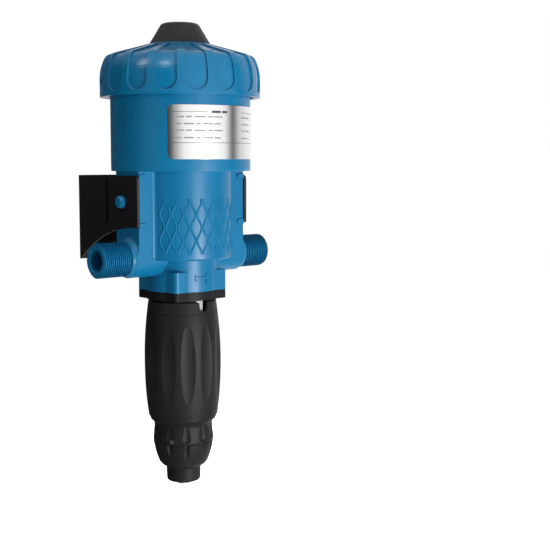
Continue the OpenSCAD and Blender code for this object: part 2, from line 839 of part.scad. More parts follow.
module spider(at, z, t, first) {
    difference() {
        union() {
            translate([0, 0, z]) cylinder(r = push_r + 3, h = t, $fn = 48);
            ring_of(ports, 0, first) translate([0, -2, z]) cube([at, 4, t]);
            ring_of(ports, at, first) translate([0, 0, z]) cylinder(r = 3.4, h = t, $fn = 48);
        }
        translate([0, 0, z - 1]) cylinder(r = push_r + 0.03, h = t + 2, $fn = 48);
        ring_of(ports, at, first) translate([0, 0, z - 1]) cylinder(r = stem_pin_r + 0.03, h = t + 2, $fn = 48);
    }
}

module valve_discs(at, r, z_disc, z_pin0, pin_h, first) {
    ring_of(ports, at, first) {
        translate([0, 0, z_disc]) cylinder(r = r, h = disc_t, $fn = 48);
        translate([0, 0, z_pin0]) cylinder(r = stem_pin_r, h = pin_h, $fn = 48);
    }
}

module upper_valve_spider() {
    color(grey) spider(outer_port_at, z_spider_up, spider_arm_t, 0);
}

module upper_valves() {
    z0 = z_head_top + run;
    pin_foot = z0 + disc_t / 2;
    color(rubber) valve_discs(outer_port_at, outer_port_r + disc_lap, z0, pin_foot,
        z_spider_up + spider_arm_t + 0.6 - pin_foot, 0);
}

module lower_valve_spider() {
    color(grey) spider(inner_port_at, z_spider_low, spider_arm_t, 45);
}

module lower_valves() {
    color(rubber) valve_discs(inner_port_at, inner_port_r + disc_lap, z_disc_low, z_spider_low - 0.6,
        z_disc_low + disc_t / 2 - z_spider_low + 0.6, 45);
}

// Toggle arm from a head lug to the spool on the push rod; it points down at rest
module toggle(side) {
    tip_r = toggle_pin_r;
    hub_r = 2.6;
    color(grey) translate([side * toggle_x, 0, z_toggle]) mirror([side < 0 ? 1 : 0, 0, 0])
        rotate([0, -toggle_swing, 0]) difference() {
            union() {
                rotate([90, 0, 0]) cylinder(r = hub_r, h = toggle_w, center = true, $fn = 48);
                translate([-toggle_reach, -toggle_w / 2, -tip_r]) cube([toggle_reach, toggle_w, 2 * tip_r]);
                translate([-toggle_reach, 0, 0]) rotate([90, 0, 0])
                    cylinder(r = tip_r, h = toggle_w, center = true, $fn = 48);
            }
            rotate([90, 0, 0]) cylinder(r = toggle_pin_r + 0.05, h = toggle_w + 2, center = true, $fn = 48);
        }
}

module toggle_left() { toggle(-1); }
module toggle_right() { toggle(1); }

// Dosing cylinder and suction end

module dosing_cylinder() {
    color(ivory) difference() {
        union() {
            translate([0, 0, z_dose_foot]) cylinder(r = dose_out_r, h = z_dose_top - z_dose_foot);
            translate([0, 0, z_dose_foot]) cylinder(r = flange_r, h = z_sleeve + flange_up - z_dose_foot);
        }
        translate([0, 0, z_dose_floor]) cylinder(r = dose_r, h = far);
        translate([0, 0, z_dose_foot - 1]) cylinder(r = valve_room_r, h = valve_room_h + 1);
        translate([0, 0, z_dose_foot]) cylinder(r = 3.5, h = 20);
        groove(dose_out_r, seal_depth, z_dose_top - 6, seal_slot);
        groove(dose_out_r, 1, z_sleeve + lip_h + 0.6, 1.9);
    }
}

module cylinder_seal() {
    o_ring(stem_bore_r, z_dose_top - 5.9 + seal_d / 2);
}

// Split clip that holds the sleeve down on the collar
module retaining_clip() {
    color(steel) difference() {
        tube(lip_r + 2, dose_out_r - 0.95, z_sleeve + lip_h + 0.7, z_sleeve + lip_h + 2.3);
        translate([0, -2.5, z_sleeve + lip_h]) cube([far, 5, 4]);
    }
}

collar_r = 24.1;
collar_waist_r = 23.2;
flare_r = 26.8;

module valve_collar() {
    waist_z = z_sleeve - 9.5;
    color(black) difference() {
        rotate_extrude() polygon(concat(
            [[0, z_spigot_foot], [collar_spigot_r, z_spigot_foot], [collar_spigot_r, z_collar + 0.3], [collar_r - 0.3, z_collar + 0.3],
            [collar_r, z_collar + 2], [collar_waist_r + 0.3, waist_z - 3], [collar_waist_r, waist_z]],
            arc_points(flare_r + 1.4, waist_z + 1.4, 5.1, 180, 118, 5),
            [[flare_r, z_sleeve - 1.2], [flare_r, z_sleeve], [0, z_sleeve]]));
        translate([0, 0, z_dose_foot]) cylinder(r = flange_r + 0.05, h = 20);
        translate([0, 0, z_spigot_foot - 1]) cylinder(r = valve_room_r, h = z_dose_foot - z_spigot_foot + 2);
        collar_grips();
    }
}

// Grip flutes of the collar: shallow hollows with a round foot and a soft top
module collar_grips() {
    half_w = 3.75;
    hollow_r = 7;
    depth = 1.3;
    foot_z = z_collar + 2.3;
    top_z = z_sleeve - 6.4;
    for (i = [0 : end_flutes - 1]) rotate(i * 360 / end_flutes - 88.2) intersection() {
        translate([collar_r - depth + hollow_r, 0, z_collar]) cylinder(r = hollow_r, h = collar_h);
        union() {
            along_x(collar_waist_r - 4, flare_r + 4, half_w, foot_z + half_w);
            along_x(collar_waist_r - 4, flare_r + 4, half_w, top_z - half_w);
            translate([collar_waist_r - 4, -half_w, foot_z + half_w]) cube([8, 2 * half_w, top_z - foot_z - 2 * half_w]);
        }
    }
}

// The belly lies a little below the middle
belly_z = z_sleeve + 0.475 * sleeve_h;
belly_arc = ((sleeve_h / 2) * (sleeve_h / 2) + belly_rise * belly_rise) / (2 * belly_rise);

module adjusting_sleeve() {
    flute_r = 18.9;
    notch_w = 7.6;
    notch_h = 7.2;
    bore = stem_r + run;
    z0 = z_sleeve + 0.2;
    z1 = z_sleeve + sleeve_h;
    z_notch = z1 - notch_h + notch_w / 2;
    color(black) difference() {
        rotate_extrude() difference() {
            intersection() {
                translate([0, z0]) square([sleeve_belly_d, z1 - z0]);
                translate([sleeve_belly_d / 2 - belly_arc, belly_z]) circle(r = belly_arc, $fn = 720);
            }
            translate([0, z_sleeve + lip_h]) square([bore, sleeve_h]);
            translate([0, z_sleeve - 1]) square([lip_r, lip_h + 2]);
            // shadow line below the rim
            translate([sleeve_belly_d / 2 - belly_rise + 0.6, z1 - 9.4]) square([4, 0.6]);
        }
        // leaf-shaped flutes: upright cylinders that bite into the belly
        ring_of(sleeve_flutes, sleeve_belly_d / 2 - sleeve_flute_depth + flute_r, -89)
            translate([0, 0, z_sleeve + 4]) cylinder(r = flute_r, h = sleeve_h - 18);
        // reading notch at the rim
        translate([-notch_w / 2, -sleeve_belly_d, z_notch]) cube([notch_w, sleeve_belly_d - stem_r + 3, notch_h]);
        translate([0, -stem_r + 3, z_notch]) rotate([90, 0, 0]) cylinder(d = notch_w, h = 20, $fn = 48);
    }
}

seat_h = 2.4;
seat_r = valve_room_r - 1.6;
valve_rest = 0.35;
z_valve_disc = z_valve_seat + valve_rest;
valve_disc_h = 1.2;

module suction_valve() {
    color(rubber) {
        translate([0, 0, z_valve_disc - seat_h]) cylinder(r1 = tail_bore / 2, r2 = seat_r, h = seat_h);
        translate([0, 0, z_valve_disc - eps]) cylinder(r = seat_r, h = valve_disc_h);
        translate([0, 0, z_valve_disc]) cylinder(r = 2.9, h = z_dose_foot + valve_room_h + 1 - z_valve_disc, $fn = 48);
    }
}

module suction_spring() {
    color(steel) coil(4.4, 0.8, z_valve_disc + valve_disc_h + 0.1, z_dose_foot + valve_room_h - 0.1, 4);
}

// Hose tail with a barbed spigot, clamped by the hose nut
module suction_tail() {
    r = tail_d / 2;
    top = z_spigot_foot - gasket_t;
    barbs = 3;
    barb_h = 3.4;
    color(ivory) difference() {
        union() {
            rotate_extrude() polygon(concat(
                [[0, 0], [r - 0.5, 0], [r, 0.5]],
                [for (i = [0 : barbs - 1]) each [[r, 1.2 + i * barb_h], [r - 0.9, 1.3 + i * barb_h], [r - 0.1, (i + 1) * barb_h]]],
                [[r - 0.9, barbs * barb_h + 0.4], [r - 0.9, top - tail_flange_h], [tail_flange_r, top - tail_flange_h],
                [tail_flange_r, top], [valve_room_r - 0.4, top], [valve_room_r - 0.4, z_valve_seat], [0, z_valve_seat]]));
        }
        translate([0, 0, -1]) cylinder(d = tail_bore, h = far);
        translate([0, 0, z_valve_seat - seat_h]) cylinder(r1 = tail_bore / 2, r2 = seat_r, h = seat_h + eps);
    }
}

module tail_gasket() {
    color(rubber) tube(tail_flange_r, valve_room_r + 0.2, z_spigot_foot - gasket_t, z_spigot_foot);
}

module hose_nut() {
    neck_top = z_nut + nozzle_h;
    inner = z_spigot_foot - gasket_t - tail_flange_h - run;
    nr = nozzle_d / 2;
    // The side arc leans in downwards and rolls over into the shoulder arc
    side_r = 62;
    side_x = collar_r + 0.3 - side_r;
    side_z = z_collar + 7.7;
    shoulder_r = 8.4;
    join = 337.7;
    color(black) difference() {
        rotate_extrude() polygon(concat(
            [[0, z_nut]],
            arc_points(nr - 2.2, z_nut + 2.2, 2.2, 270, 360, 5),
            [[nr + 0.3, neck_top]],
            arc_points(side_x + (side_r - shoulder_r) * cos(join), side_z + (side_r - shoulder_r) * sin(join),
                shoulder_r, 290, join, 4),
            arc_points(side_x, side_z, side_r, join + 0.9, 352.8, 4),
            [[collar_r - 0.3, z_collar], [0, z_collar]]));
        translate([0, 0, inner]) cylinder(r = collar_spigot_r + run, h = 30);
        translate([0, 0, z_nut - 1]) cylinder(r = tail_d / 2 + 1.6, h = 40);
        // grip flutes that run out to a point
        ring_of(end_flutes, collar_r + 0.6, -88.7)
            translate([0, 0, z_collar - 13.5]) cylinder(r1 = 3.4, r2 = 2.4, h = 14, $fn = 48);
    }
}

pump_body();
inlet_nipple();
outlet_nipple();
rating_plate();
wall_bracket();
lower_liner();
liner_seal();
dosing_stem();
stem_seal();
stem_screws();
dosage_scale();
head_cover();
head_seal();
screw_cap();
bleed_button();
bleed_stem();
bleed_seal();
bleed_spring();
piston_head();
piston_skirt();
piston_ring();
skirt_seal();
plunger_rod();
plunger_seal();
toggle_pins();
push_rod();
upper_valve_spider();
upper_valves();
lower_valve_spider();
lower_valves();
toggle_left();
toggle_right();
dosing_cylinder();
cylinder_seal();
retaining_clip();
valve_collar();
adjusting_sleeve();
suction_valve();
suction_spring();
suction_tail();
tail_gasket();
hose_nut();
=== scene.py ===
import bpy
import json
from math import cos, pi, radians, sin, sqrt
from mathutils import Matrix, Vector


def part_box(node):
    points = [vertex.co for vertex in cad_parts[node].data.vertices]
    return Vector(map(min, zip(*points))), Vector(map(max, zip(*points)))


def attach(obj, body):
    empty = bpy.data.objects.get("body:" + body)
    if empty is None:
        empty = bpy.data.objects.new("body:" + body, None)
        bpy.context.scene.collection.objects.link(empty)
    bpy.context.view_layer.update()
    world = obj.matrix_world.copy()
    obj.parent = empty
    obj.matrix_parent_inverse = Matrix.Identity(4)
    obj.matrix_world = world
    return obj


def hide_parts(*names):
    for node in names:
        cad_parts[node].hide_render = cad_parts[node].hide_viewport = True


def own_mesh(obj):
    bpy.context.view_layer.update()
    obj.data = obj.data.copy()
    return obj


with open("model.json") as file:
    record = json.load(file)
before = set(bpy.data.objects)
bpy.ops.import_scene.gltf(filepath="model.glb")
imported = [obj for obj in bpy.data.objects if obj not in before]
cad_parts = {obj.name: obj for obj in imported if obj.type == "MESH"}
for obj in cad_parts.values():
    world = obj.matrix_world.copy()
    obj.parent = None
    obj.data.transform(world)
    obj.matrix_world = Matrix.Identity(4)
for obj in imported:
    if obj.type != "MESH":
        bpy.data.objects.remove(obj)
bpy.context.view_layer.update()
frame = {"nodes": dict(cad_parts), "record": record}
print("frame loaded:", len(frame["nodes"]), "nodes")

mm = 0.001  # lengths in the dictionaries of pieces are in millimetres
nodes = frame["nodes"]
toolSegments = 192  # sides of the round tools that shape other pieces
weldDistance = 0.000001  # in metres: vertices that lie closer become one


def deselectAll():
    if bpy.context.object and bpy.context.object.mode != "OBJECT":
        bpy.ops.object.mode_set(mode="OBJECT")
    bpy.ops.object.select_all(action="DESELECT")


def pickOnly(piece):
    deselectAll()
    piece.select_set(True)
    bpy.context.view_layer.objects.active = piece


def settle(piece):
    # the place goes into the mesh, so that the object sits at the origin
    pickOnly(piece)
    bpy.ops.object.transform_apply(location=True, rotation=True, scale=True)


def applyAll(piece):
    pickOnly(piece)
    for modifier in list(piece.modifiers):
        bpy.ops.object.modifier_apply(modifier=modifier.name)


def smooth(piece, angle=32):
    pickOnly(piece)
    bpy.ops.object.shade_smooth_by_angle(angle=radians(angle))


def joined(name, pieces):
    deselectAll()
    for piece in pieces:
        piece.select_set(True)
    bpy.context.view_layer.objects.active = pieces[0]
    if len(pieces) > 1:
        bpy.ops.object.join()
    whole = bpy.context.object
    whole.name = name
    whole.data.name = name
    return whole


def finishEdit():
    # all faces are turned outwards on the way back to object mode
    bpy.ops.mesh.select_all(action="SELECT")
    bpy.ops.mesh.normals_make_consistent(inside=False)
    bpy.ops.object.mode_set(mode="OBJECT")


def turned(name, rings, segments=96, closed=True):
    # a circle pulled out ring by ring as on a lathe; each ring is (place along Z, radius)
    deselectAll()
    bpy.ops.mesh.primitive_circle_add(vertices=segments, radius=rings[0][1], location=(0, 0, 0))
    shape = bpy.context.object
    shape.name = name
    bpy.ops.object.mode_set(mode="EDIT")
    bpy.ops.mesh.select_all(action="SELECT")
    bpy.ops.transform.translate(value=(0, 0, rings[0][0]))
    here = rings[0]
    for ring in rings[1:] + ([rings[0]] if closed else []):
        bpy.ops.mesh.extrude_region_move(TRANSFORM_OT_translate={"value": (0, 0, ring[0] - here[0])})
        grow = ring[1] / here[1]
        bpy.ops.transform.resize(value=(grow, grow, 1), center_override=(0, 0, ring[0]))
        here = ring
    bpy.ops.mesh.select_all(action="SELECT")
    bpy.ops.mesh.remove_doubles(threshold=weldDistance)
    finishEdit()
    return shape


def boolean(piece, tool, operation):
    change = piece.modifiers.new("boolean", "BOOLEAN")
    change.operation = operation
    change.solver = "EXACT"
    change.object = tool
    pickOnly(piece)
    bpy.ops.object.modifier_apply(modifier=change.name)
    bpy.data.objects.remove(tool)


def wrapOnto(piece, radius, thick, low, high):
    # keeps only what of the prism lies in a tube wall, which leaves it curved and evenly proud
    wall = [(low, radius), (low, radius + thick), (high, radius + thick), (high, radius)]
    boolean(piece, turned("band", wall, segments=toolSegments), "INTERSECT")


def boxPiece(name, low, high):
    deselectAll()
    centre = [(a + b) / 2 for a, b in zip(low, high)]
    bpy.ops.mesh.primitive_cube_add(size=1, location=centre)
    piece = bpy.context.object
    piece.name = name
    piece.scale = [b - a for a, b in zip(low, high)]
    settle(piece)
    return piece


def copied(piece, name):
    pickOnly(piece)
    bpy.ops.object.duplicate(linked=False)
    bpy.context.object.name = name
    return bpy.context.object


def turnedCopy(piece, name, angle):
    copy = copied(piece, name)
    copy.rotation_euler = (0, 0, radians(angle))
    settle(copy)
    return copy


def movedCopy(piece, name, shift):
    copy = copied(piece, name)
    copy.location = shift
    settle(copy)
    return copy


def mirroredCopy(piece, name):
    copy = copied(piece, name)
    copy.scale.x = -1
    settle(copy)
    bpy.ops.object.mode_set(mode="EDIT")
    finishEdit()
    return copy


# Materials

def newMaterial(name):
    material = bpy.data.materials.new(name)
    material.use_nodes = True
    tree = material.node_tree
    return material, tree, tree.nodes["Principled BSDF"]


def addNode(tree, kind, **settings):
    node = tree.nodes.new(kind)
    for key, value in settings.items():
        setattr(node, key, value)
    return node


def noiseOn(tree, scale, detail, stretch=(1, 1, 1)):
    place = addNode(tree, "ShaderNodeTexCoord")
    mapping = addNode(tree, "ShaderNodeMapping")
    mapping.inputs["Scale"].default_value = stretch
    noise = addNode(tree, "ShaderNodeTexNoise")
    noise.inputs["Scale"].default_value = scale
    noise.inputs["Detail"].default_value = detail
    tree.links.new(place.outputs["Object"], mapping.inputs["Vector"])
    tree.links.new(mapping.outputs["Vector"], noise.inputs["Vector"])
    return noise.outputs["Fac"]


def spread(tree, source, low, high, fromLow=0.3, fromHigh=0.7):
    mapRange = addNode(tree, "ShaderNodeMapRange")
    mapRange.inputs["From Min"].default_value = fromLow
    mapRange.inputs["From Max"].default_value = fromHigh
    mapRange.inputs["To Min"].default_value = low
    mapRange.inputs["To Max"].default_value = high
    tree.links.new(source, mapRange.inputs["Value"])
    return mapRange.outputs["Result"]


def blendOf(tree, source, dark, light, fromLow=0.35, fromHigh=0.65):
    ramp = addNode(tree, "ShaderNodeValToRGB")
    ramp.color_ramp.elements[0].position = fromLow
    ramp.color_ramp.elements[0].color = (*dark, 1)
    ramp.color_ramp.elements[1].position = fromHigh
    ramp.color_ramp.elements[1].color = (*light, 1)
    tree.links.new(source, ramp.inputs["Fac"])
    return ramp.outputs["Color"]


def softEdgeBump(tree, shader, height, strength, distance, edge):
    # fine surface grain over edges that catch the light as if slightly rounded
    bump = addNode(tree, "ShaderNodeBump")
    bump.inputs["Strength"].default_value = strength
    bump.inputs["Distance"].default_value = distance
    tree.links.new(height, bump.inputs["Height"])
    if edge > 0:
        bevel = addNode(tree, "ShaderNodeBevel", samples=4)
        bevel.inputs["Radius"].default_value = edge
        tree.links.new(bevel.outputs["Normal"], bump.inputs["Normal"])
    tree.links.new(bump.outputs["Normal"], shader.inputs["Normal"])


def combined(tree, operation, first, second):
    node = addNode(tree, "ShaderNodeMath", operation=operation)
    tree.links.new(first, node.inputs[0])
    tree.links.new(second, node.inputs[1])
    return node.outputs[0]


# in the looks, edge is the radius in metres at which edges seem rounded
plasticSurface = {"ior": 1.5, "driftDetail": 4, "grainDetail": 2, "grainDepth": 0.0001}


def mouldedPlastic(name, look):
    # injection-moulded plastic: slow colour drift, patchy gloss and a fine spark-eroded grain
    material, tree, shader = newMaterial(name)
    drift = noiseOn(tree, look["driftScale"], plasticSurface["driftDetail"])
    grain = noiseOn(tree, look["grainScale"], plasticSurface["grainDetail"])
    colour = blendOf(tree, drift, look["dark"], look["light"])
    roughness = spread(tree, drift, look["glossy"], look["dull"])
    tree.links.new(colour, shader.inputs["Base Color"])
    tree.links.new(roughness, shader.inputs["Roughness"])
    shader.inputs["Specular IOR Level"].default_value = look["specular"]
    shader.inputs["IOR"].default_value = plasticSurface["ior"]
    softEdgeBump(tree, shader, grain, look["grain"], plasticSurface["grainDepth"], look["edge"])
    return material


housingBlue = {"dark": (0.003, 0.18, 0.375), "light": (0.004, 0.2, 0.41), "driftScale": 14,
               "grainScale": 2600}
bluePlastic = mouldedPlastic("bluePlastic", {
    **housingBlue, "glossy": 0.28, "dull": 0.36, "specular": 0.36, "grain": 0.08, "edge": 0.0006})
capBlue = mouldedPlastic("capBlue", {
    **housingBlue, "glossy": 0.16, "dull": 0.24, "specular": 0.42, "grain": 0.06, "edge": 0.0008})
ribBlue = mouldedPlastic("ribBlue", {
    **housingBlue, "glossy": 0.52, "dull": 0.6, "specular": 0.2, "grain": 0.08, "edge": 0.0004})
portBlue = mouldedPlastic("portBlue", {
    "dark": (0.003, 0.17, 0.36), "light": (0.004, 0.19, 0.39), "driftScale": 30, "grainScale": 2600,
    "glossy": 0.36, "dull": 0.44, "specular": 0.25, "grain": 0.1, "edge": 0.0002})
blackPlastic = mouldedPlastic("blackPlastic", {
    "dark": (0.013, 0.013, 0.014), "light": (0.018, 0.018, 0.019), "driftScale": 18, "grainScale": 3000,
    "glossy": 0.42, "dull": 0.52, "specular": 0.12, "grain": 0.15, "edge": 0.0005})
gripBlack = mouldedPlastic("gripBlack", {
    "dark": (0.015, 0.015, 0.016), "light": (0.021, 0.021, 0.022), "driftScale": 22, "grainScale": 3400,
    "glossy": 0.42, "dull": 0.52, "specular": 0.14, "grain": 0.2, "edge": 0.0005})
bracketBlack = mouldedPlastic("bracketBlack", {
    "dark": (0.012, 0.012, 0.013), "light": (0.015, 0.015, 0.016), "driftScale": 12, "grainScale": 2400,
    "glossy": 0.5, "dull": 0.6, "specular": 0.1, "grain": 0.1, "edge": 0.0005})


def paintedEdgeHighlight(material, look):
    # painted highlight: the sheet's front edges and the faces that turn downwards, towards the low key lamp,
    # are painted less black than its other faces; front and blend are in metres
    tree = material.node_tree
    shader = tree.nodes["Principled BSDF"]
    place = addNode(tree, "ShaderNodeTexCoord")
    facing = addNode(tree, "ShaderNodeSeparateXYZ")
    at = addNode(tree, "ShaderNodeSeparateXYZ")
    tree.links.new(place.outputs["Normal"], facing.inputs[0])
    tree.links.new(place.outputs["Object"], at.inputs[0])
    below = spread(tree, facing.outputs["Z"], 1.0, 0.0, look["tiltFrom"], look["tiltTo"])
    inFront = spread(tree, at.outputs["Y"], 1.0, 0.0, look["front"] - look["blend"], look["front"])
    edge = combined(tree, "MAXIMUM", below, inFront)
    faceColour = shader.inputs["Base Color"].links[0].from_socket
    mix = addNode(tree, "ShaderNodeMix", data_type="RGBA")
    mix.inputs["B"].default_value = (*look["bare"], 1)
    tree.links.new(edge, mix.inputs["Factor"])
    tree.links.new(faceColour, mix.inputs["A"])
    tree.links.new(mix.outputs["Result"], shader.inputs["Base Color"])


# the bracket gets a painted highlight on its front edges and on the faces that turn downwards
paintedEdgeHighlight(bracketBlack, {
    "front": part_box("wall_bracket")[0][1] + 0.0006, "blend": 0.0002, "tiltFrom": -0.4, "tiltTo": -0.3,
    "bare": (0.055, 0.05, 0.05)})
buttonGrey = mouldedPlastic("buttonGrey", {
    "dark": (0.027, 0.027, 0.028), "light": (0.034, 0.034, 0.036), "driftScale": 30, "grainScale": 3200,
    "glossy": 0.42, "dull": 0.5, "specular": 0.12, "grain": 0.18, "edge": 0.0008})
innerIvory = mouldedPlastic("innerIvory", {
    "dark": (0.62, 0.59, 0.5), "light": (0.72, 0.69, 0.6), "driftScale": 20, "grainScale": 2000,
    "glossy": 0.35, "dull": 0.45, "specular": 0.5, "grain": 0.08, "edge": 0.0004})
innerGrey = mouldedPlastic("innerGrey", {
    "dark": (0.2, 0.21, 0.23), "light": (0.26, 0.27, 0.29), "driftScale": 25, "grainScale": 2200,
    "glossy": 0.35, "dull": 0.45, "specular": 0.5, "grain": 0.08, "edge": 0.0003})
scaleWhite = mouldedPlastic("scaleWhite", {
    "dark": (0.62, 0.62, 0.6), "light": (0.74, 0.74, 0.72), "driftScale": 60, "grainScale": 2600,
    "glossy": 0.35, "dull": 0.45, "specular": 0.5, "grain": 0.06, "edge": 0.0002})
tailGrey = mouldedPlastic("tailGrey", {
    "dark": (0.5, 0.51, 0.52), "light": (0.62, 0.63, 0.64), "driftScale": 40, "grainScale": 2600,
    "glossy": 0.25, "dull": 0.35, "specular": 0.5, "grain": 0.06, "edge": 0.0003})
sealRubber = mouldedPlastic("sealRubber", {
    "dark": (0.008, 0.008, 0.008), "light": (0.014, 0.014, 0.014), "driftScale": 50, "grainScale": 1800,
    "glossy": 0.55, "dull": 0.68, "specular": 0.35, "grain": 0.2, "edge": 0})


foilSurface = {"scratchDetail": 3, "darkTo": 0.3, "lightFrom": 0.7, "cloudScale": 25, "cloudDetail": 2,
               "grainDepth": 0.00005}


def brushedFoil(name, look):
    # rolled foil: fine scratches along one way and a broad sheen
    material, tree, shader = newMaterial(name)
    scratches = noiseOn(tree, look["scratchScale"], foilSurface["scratchDetail"], look["stretch"])
    clouds = noiseOn(tree, foilSurface["cloudScale"], foilSurface["cloudDetail"])
    ends = (foilSurface["darkTo"], foilSurface["lightFrom"])
    colour = blendOf(tree, scratches, look["dark"], look["light"], *ends)
    roughness = spread(tree, clouds, look["glossy"], look["dull"])
    tree.links.new(colour, shader.inputs["Base Color"])
    tree.links.new(roughness, shader.inputs["Roughness"])
    shader.inputs["Metallic"].default_value = look["metal"]
    softEdgeBump(tree, shader, scratches, look["grain"], foilSurface["grainDepth"], look["edge"])
    return material


plateSilver = brushedFoil("plateSilver", {
    "dark": (0.84, 0.84, 0.85), "light": (0.93, 0.93, 0.94), "scratchScale": 60, "stretch": (1, 1, 60),
    "glossy": 0.17, "dull": 0.22, "metal": 1.0, "grain": 0.05, "edge": 0})
stainless = brushedFoil("stainless", {
    "dark": (0.5, 0.51, 0.53), "light": (0.64, 0.65, 0.67), "scratchScale": 300, "stretch": (1, 1, 20),
    "glossy": 0.22, "dull": 0.34, "metal": 1.0, "grain": 0.1, "edge": 0})

printInk = {"grainScale": 2500, "glossy": 0.4, "dull": 0.5, "specular": 0.4, "grain": 0.03, "edge": 0}
plateInk = mouldedPlastic("plateInk", {
    **printInk, "dark": (0.05, 0.05, 0.055), "light": (0.08, 0.08, 0.085), "driftScale": 200})
faintInk = mouldedPlastic("faintInk", {
    **printInk, "dark": (0.3, 0.3, 0.31), "light": (0.42, 0.42, 0.43), "driftScale": 900})
scaleInk = mouldedPlastic("scaleInk", {
    **printInk, "dark": (0.02, 0.02, 0.02), "light": (0.03, 0.03, 0.03), "driftScale": 200})

finishes = {
    "body_blue": bluePlastic, "cap_blue": capBlue, "port_blue": portBlue,
    "black_plastic": blackPlastic, "grip_black": gripBlack, "bracket_black": bracketBlack,
    "button_grey": buttonGrey, "plate_silver": plateSilver, "scale_white": scaleWhite,
    "inner_ivory": innerIvory, "inner_grey": innerGrey, "tail_grey": tailGrey,
    "seal_rubber": sealRubber, "stainless": stainless,
}


def paint(piece, material):
    piece.data.materials.clear()
    piece.data.materials.append(material)


for part in frame["record"]["subparts"]:
    paint(nodes[part["node"]], finishes[part["material_slot"]])
print("materials on the", len(nodes), "carried-over nodes")


# Threaded pipe ends

def sweep(profile, pitch, turns, steps):
    # the outline is swept up a helix round the Z axis
    screw = profile.modifiers.new("helix", "SCREW")
    screw.axis = "Z"
    screw.screw_offset = pitch
    screw.iterations = turns
    screw.steps = steps
    screw.render_steps = steps
    applyAll(profile)


def closeEnds(piece, sides):
    pickOnly(piece)
    bpy.ops.object.mode_set(mode="EDIT")
    bpy.ops.mesh.select_all(action="SELECT")
    bpy.ops.mesh.remove_doubles(threshold=weldDistance)
    bpy.ops.mesh.fill_holes(sides=sides)
    finishEdit()


# sunk and clear are how far the pieces and tools overlap, so that the cuts stay clean
pipeThread = {"pitch": 1.814, "depth": 1.16, "crestFlat": 0.3, "toothShare": 0.97, "steps": 96, "sunk": 0.2,
              "chamfer": 0.8, "spigot": 6.4, "spigotWall": 2.6, "bore": 16.4, "mouthEdge": 0.6, "clear": 0.1}


def threadRidge(low, turns, foot, crest):
    # a tooth with a narrow flat crest, swept up by a Screw modifier and closed at both ends
    pitch = pipeThread["pitch"] * mm
    middle = (crest + foot) / 2
    deselectAll()
    bpy.ops.mesh.primitive_plane_add(size=1, location=(0, 0, 0), rotation=(pi / 2, 0, 0))
    tooth = bpy.context.object
    tooth.name = "ridge"
    tooth.scale = (crest - foot, pitch * pipeThread["toothShare"], 1)
    tooth.location = (middle, 0, low)
    settle(tooth)
    for vertex in tooth.data.vertices:
        vertex.select = vertex.co.x > middle
    bpy.ops.object.mode_set(mode="EDIT")
    narrower = pipeThread["crestFlat"] * mm / pitch
    bpy.ops.transform.resize(value=(1, 1, narrower), center_override=(crest, 0, low))
    bpy.ops.object.mode_set(mode="OBJECT")
    sweep(tooth, pitch, turns, pipeThread["steps"])
    closeEnds(tooth, 4)
    return tooth


def threadedEnd(name, node, side):
    # drawn upright, and then laid along X to its own side
    low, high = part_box(node)
    reach = abs(low[0]) if side < 0 else abs(high[0])
    inner = abs(high[0]) if side < 0 else abs(low[0])
    crest = (high[2] - low[2]) / 2
    centre = (high[2] + low[2]) / 2
    pitch = pipeThread["pitch"] * mm
    sunk = pipeThread["sunk"] * mm
    foot = crest - pipeThread["depth"] * mm
    root = inner + pipeThread["spigot"] * mm
    bore = pipeThread["bore"] / 2 * mm
    spigot = bore + pipeThread["spigotWall"] * mm
    mouthEdge = pipeThread["mouthEdge"] * mm
    tube = turned(name, [(inner, bore), (inner, spigot), (root, spigot), (root, foot), (reach, foot),
                         (reach, bore + mouthEdge), (reach - mouthEdge, bore)])
    turns = int((reach - root) / pitch) + 2
    ridge = threadRidge(root - pitch / 2, turns, foot - sunk, crest)
    # the ridge is faced off at the shoulder and chamfered at the mouth
    outside = crest + pipeThread["clear"] * mm
    chamfer = pipeThread["chamfer"] * mm
    inside = foot - 2 * sunk
    sheath = turned("sheath", [(root, inside), (root, outside), (reach - chamfer, outside),
                               (reach, outside - chamfer), (reach, inside)], segments=toolSegments)
    boolean(ridge, sheath, "INTERSECT")
    whole = joined(name, [tube, ridge])
    whole.rotation_euler = (0, side * pi / 2, 0)
    whole.location = (0, 0, centre)
    settle(whole)
    smooth(whole)
    paint(whole, portBlue)
    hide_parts(node)
    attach(whole, "housing")


threadedEnd("inletThreadedEnd", "inlet_nipple", -1)
threadedEnd("outletThreadedEnd", "outlet_nipple", 1)
print("threaded ends cut")


# Ogee ribs on the waist

portHeight = (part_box("inlet_nipple")[0][2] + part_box("inlet_nipple")[1][2]) / 2 / mm
ogee = {"radius": 39.6, "cell": 14.0, "swing": 2.55, "period": 20.0, "peak": portHeight + 13.9,
        "foot": portHeight + 3.5, "top": portHeight + 45.7, "width": 2.3, "crest": 0.8, "proud": 0.5,
        "sunk": 0.3, "steps": 56, "risingFrom": -52.5, "rising": 8, "fallingFrom": -59.5, "falling": 9,
        # a rib's height is a share of the full one: footShare at the foot, gaining 1 over footFade, falling
        # to 0 over topFade below the top, and nowhere under thinnest
        "footShare": 0.3, "footFade": 2.5, "topFade": 9, "thinnest": 0.12, "smoothAngle": 50}


